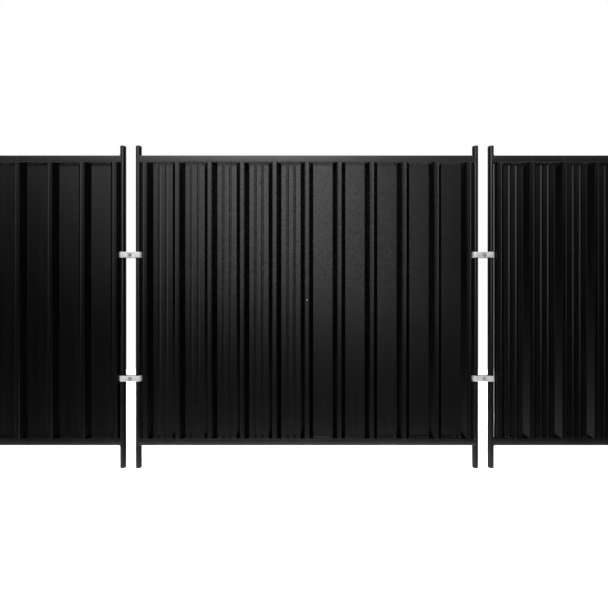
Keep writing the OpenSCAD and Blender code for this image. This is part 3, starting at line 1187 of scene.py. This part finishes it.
class HOARDING_OT_bolts(bpy.types.Operator):
    """Makes the threaded bolts with their washers, heads and nuts"""

    bl_idname = "hoarding.bolts"
    bl_label = "Clip bolts"

    def execute(self, context):
        settings = context.scene.hoarding_clip
        low, high, _ = node_box(joint_node(JOINTS[0], "clip_bolt"))
        back_seat = high.y - settings.hex_height
        plate = back_seat - settings.washer_thickness
        front_seat = -back_seat
        nut_end = front_seat - settings.hex_height
        shank = self.shank(settings, low.y, front_seat, back_seat, plate)
        thread = self.thread(settings, low.y + TIP_CHAMFER, nut_end + THREAD_IN_NUT)
        head = self.hexagon(settings, back_seat, high.y, False)
        nut = self.hexagon(settings, nut_end, front_seat, True)
        pattern = joined([shank, thread, head, nut])
        places = []
        for joint in JOINTS:
            middle = node_box(joint_node(joint, "clip_bolt"))[2]
            places.append((joint_node(joint, "clip_bolt") + "_set", (middle.x, 0.0, middle.z), 0.0))
        for joint, bolt in zip(JOINTS, set_out(pattern, "bolt", places)):
            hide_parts(joint_node(joint, "clip_bolt"))
        return {"FINISHED"}

    def shank(self, settings, tip, front_seat, back_seat, plate):
        """Shank with both washers, down to the chamfered tip"""
        core = settings.shank / 2 - CORE_DEPTH
        rim = settings.washer / 2
        flat = rim - SMALL_ROUND
        section = [(0.0, back_seat), (flat, back_seat), (rim, back_seat - SMALL_ROUND)]
        section += [(rim, plate + SMALL_ROUND), (flat, plate), (settings.shank / 2, plate)]
        section += [(settings.shank / 2, -plate), (flat, -plate), (rim, -plate - SMALL_ROUND)]
        section += [(rim, front_seat + SMALL_ROUND), (flat, front_seat), (core, front_seat)]
        section += [(core, tip + TIP_LENGTH), (core - TIP_CHAMFER, tip), (0.0, tip)]
        return turned(section, SHANK_STEPS)

    def thread(self, settings, low, high):
        """Helical thread on the bare end of the bolt"""
        crest = settings.shank / 2
        root = crest - THREAD_DEPTH
        rise, fall, end = (low + settings.pitch * share for share in THREAD_CREST)
        ridge = [(root, low, 0.0), (crest, rise, 0.0), (crest, fall, 0.0), (root, end, 0.0)]
        thread = drawn(ridge + [ridge[0]])
        bpy.ops.mesh.remove_doubles(threshold=SAME_SPOT)
        turns = max(1, int((high - low) / settings.pitch) - 1)
        winding = {"angle": 2 * math.pi, "screw_offset": settings.pitch, "iterations": turns}
        steps = {"steps": THREAD_STEPS, "render_steps": THREAD_STEPS}
        with_modifier(thread, "SCREW", axis="Y", **steps, **winding)
        open_all()
        bpy.ops.mesh.fill_holes(sides=0)
        weld_up()
        return thread

    def hexagon(self, settings, low, high, both):
        """Nut, chamfered at both faces, or head, chamfered at its outer face"""
        corner = settings.flats / math.sqrt(3)
        body = begin(
            bpy.ops.mesh.primitive_cylinder_add,
            vertices=6,
            radius=corner,
            depth=high - low,
            location=(0.0, (low + high) / 2, 0.0),
            rotation=(math.pi / 2, HEX_TURN, 0.0),
        )
        pick(body, "EDGE", lambda edge, middle: abs((edge.verts[0].co - edge.verts[1].co).y) > MM)
        bpy.ops.mesh.bevel(offset=SMALL_ROUND, segments=2, affect="EDGES")
        face = settings.flats / 2 * HEX_FACE
        drop = (corner - face) * math.tan(HEX_SLOPE)
        beyond = corner + CUTTER_SPARE
        section = [(0.0, high), (face, high), (beyond, high - drop)]
        section += [(beyond, low + drop), (face, low)] if both else [(beyond, low)]
        cutter = turned(section + [(0.0, low)], CUTTER_STEPS)
        with_modifier(body, "BOOLEAN", object=cutter, operation="INTERSECT", solver="EXACT")
        bpy.ops.object.mode_set(mode="EDIT")
        weld_up()
        discard(cutter)
        return body


class HOARDING_PT_panel(bpy.types.Panel):
    """Lists the fence's settings and steps"""

    bl_idname = "HOARDING_PT_panel"
    bl_label = "Hoarding Fence"
    bl_space_type = "VIEW_3D"
    bl_region_type = "UI"
    bl_category = "Hoarding"

    def draw(self, context):
        for group, (_, steps) in GROUPS.items():
            box = self.layout.box()
            settings = getattr(context.scene, group)
            for key in settings.__annotations__:
                box.prop(settings, key)
            for step in steps:
                box.operator(step)


# Each group of settings with its class and the steps that it belongs to
GROUPS = {
    "hoarding_stage": (HoardingStageSettings, ("hoarding.stage",)),
    "hoarding_finish": (HoardingFinishSettings, ("hoarding.finishes",)),
    "hoarding_weld": (HoardingWeldSettings, ("hoarding.welds",)),
    "hoarding_rivet": (HoardingRivetSettings, ("hoarding.rivets",)),
    "hoarding_clip": (HoardingClipSettings, ("hoarding.clips", "hoarding.bolts")),
}

CLASSES = (
    *(settings for settings, _ in GROUPS.values()),
    HOARDING_OT_stage,
    HOARDING_OT_finishes,
    HOARDING_OT_welds,
    HOARDING_OT_rivets,
    HOARDING_OT_clips,
    HOARDING_OT_bolts,
    HOARDING_PT_panel,
)


def register():
    for entry in CLASSES:
        bpy.utils.register_class(entry)
    for group, (settings, _) in GROUPS.items():
        setattr(bpy.types.Scene, group, PointerProperty(type=settings))


def unregister():
    for group in GROUPS:
        delattr(bpy.types.Scene, group)
    for entry in reversed(CLASSES):
        bpy.utils.unregister_class(entry)


def main():
    register()
    bpy.ops.hoarding.stage()
    bpy.ops.hoarding.finishes()
    bpy.ops.hoarding.welds()
    bpy.ops.hoarding.rivets()
    bpy.ops.hoarding.clips()
    bpy.ops.hoarding.bolts()


if __name__ == "__main__":
    main()
